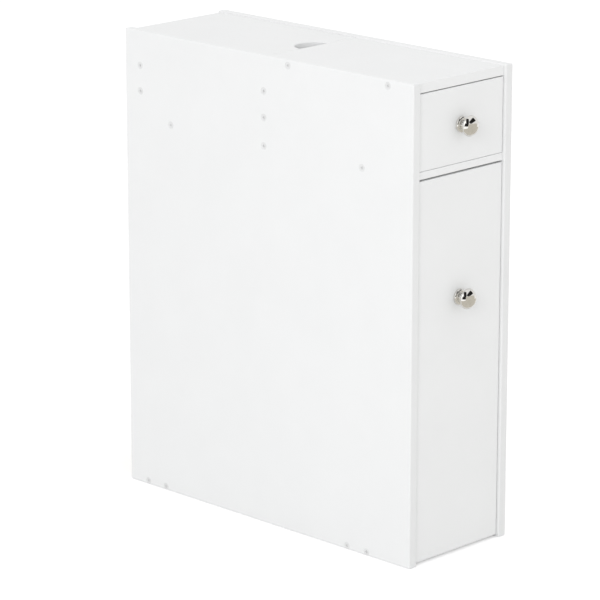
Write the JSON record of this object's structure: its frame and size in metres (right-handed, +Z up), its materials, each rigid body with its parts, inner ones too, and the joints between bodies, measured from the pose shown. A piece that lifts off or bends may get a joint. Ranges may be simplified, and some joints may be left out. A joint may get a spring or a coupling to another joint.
{
  "type": "narrow bathroom cabinet",
  "caption": "Narrow white floor cabinet with a small upper drawer, a tall pull-out storage unit and a hinged lid with a finger notch over a rear compartment.",
  "frame": {"origin": "on the floor, midway across the cabinet and midway between the knobs' tips and the back edges", "axes": "+Z up, -Y out of the front where the knobs are, +X to the right of someone who faces the front"},
  "size_m": [0.17, 0.5, 0.58],
  "materials": {
    "white_board": "satin",
    "thin_panel": "satin",
    "dowel_wood": "matte",
    "runner_steel": "satin",
    "white_nylon": "satin",
    "white_screw": "satin",
    "screw_steel": "satin",
    "axle_steel": "satin",
    "cam_metal": "satin",
    "knob_chrome": "polished"
  },
  "bodies": {
    "carcass": {"back_panel": "thin_panel", "carcass_screws": "white_screw", "divider_shelf": "white_board", "drawer_left_outer_runner": "runner_steel", "drawer_right_outer_runner": "runner_steel", "fixed_top": "white_board", "front_roller_axles": "axle_steel", "front_stretcher": "white_board", "left_side_panel": "white_board", "lid_pivot_bushes": "white_nylon", "outer_runner_screws": "screw_steel", "partition": "white_board", "pullout_left_outer_runner": "runner_steel", "pullout_right_outer_runner": "runner_steel", "rear_stretcher": "white_board", "right_side_panel": "white_board", "upper_back_board": "white_board"},
    "lid_assembly": {"lid": "white_board", "lid_pivot_pins": "axle_steel"},
    "drawer": {"drawer_back": "white_board", "drawer_bottom": "thin_panel", "drawer_cam_bolts": "screw_steel", "drawer_cam_nuts": "cam_metal", "drawer_dowels": "dowel_wood", "drawer_front": "white_board", "drawer_knob": "knob_chrome", "drawer_knob_bolt": "screw_steel", "drawer_left_inner_runner": "runner_steel", "drawer_left_side": "white_board", "drawer_rear_roller_axles": "axle_steel", "drawer_right_inner_runner": "runner_steel", "drawer_right_side": "white_board", "drawer_runner_screws": "screw_steel", "drawer_screws": "screw_steel"},
    "pullout": {"pullout_back": "white_board", "pullout_bottom": "white_board", "pullout_cam_bolts": "screw_steel", "pullout_cam_nuts": "cam_metal", "pullout_dowels": "dowel_wood", "pullout_front": "white_board", "pullout_knob": "knob_chrome", "pullout_knob_bolt": "screw_steel", "pullout_left_inner_runner": "runner_steel", "pullout_left_rail": "white_board", "pullout_left_side": "white_board", "pullout_rear_roller_axles": "axle_steel", "pullout_right_inner_runner": "runner_steel", "pullout_right_rail": "white_board", "pullout_right_side": "white_board", "pullout_runner_screws": "screw_steel", "pullout_screws": "screw_steel", "pullout_shelf": "white_board"},
    "drawer_front_roller_pair": {"drawer_front_rollers": "white_nylon"},
    "drawer_rear_roller_pair": {"drawer_rear_rollers": "white_nylon"},
    "pullout_front_roller_pair": {"pullout_front_rollers": "white_nylon"},
    "pullout_rear_roller_pair": {"pullout_rear_rollers": "white_nylon"}
  },
  "joints": [
    {"name": "lid_hinge", "type": "hinge", "parent": "carcass", "child": "lid_assembly", "pos_m": [0, 0.2375, 0.573], "axis": [-1, 0, 0], "range_deg": [0, 91]},
    {"name": "drawer_slide", "type": "slide", "parent": "carcass", "child": "drawer", "axis": [0, -1, 0], "range_m": [0, 0.135]},
    {"name": "pullout_slide", "type": "slide", "parent": "carcass", "child": "pullout", "axis": [0, -1, 0], "range_m": [0, 0.325]},
    {"name": "drawer_front_roller_spin", "type": "hinge", "parent": "carcass", "child": "drawer_front_roller_pair", "pos_m": [0, -0.2005, 0.4868], "axis": [1, 0, 0], "range_deg": [0, 880]},
    {"name": "drawer_rear_roller_spin", "type": "hinge", "parent": "drawer", "child": "drawer_rear_roller_pair", "pos_m": [0, -0.0185, 0.4868], "axis": [1, 0, 0], "range_deg": [0, 880]},
    {"name": "pullout_front_roller_spin", "type": "hinge", "parent": "carcass", "child": "pullout_front_roller_pair", "pos_m": [0, -0.2005, 0.0233], "axis": [1, 0, 0], "range_deg": [0, 2100]},
    {"name": "pullout_rear_roller_spin", "type": "hinge", "parent": "pullout", "child": "pullout_rear_roller_pair", "pos_m": [0, 0.201, 0.0233], "axis": [1, 0, 0], "range_deg": [0, 2100]}
  ],
  "couplings": [
    {"joint": "drawer_front_roller_spin", "follows": "drawer_slide", "rad_per_m": 111.11},
    {"joint": "drawer_rear_roller_spin", "follows": "drawer_slide", "rad_per_m": 111.11},
    {"joint": "pullout_front_roller_spin", "follows": "pullout_slide", "rad_per_m": 111.11},
    {"joint": "pullout_rear_roller_spin", "follows": "pullout_slide", "rad_per_m": 111.11}
  ]
}
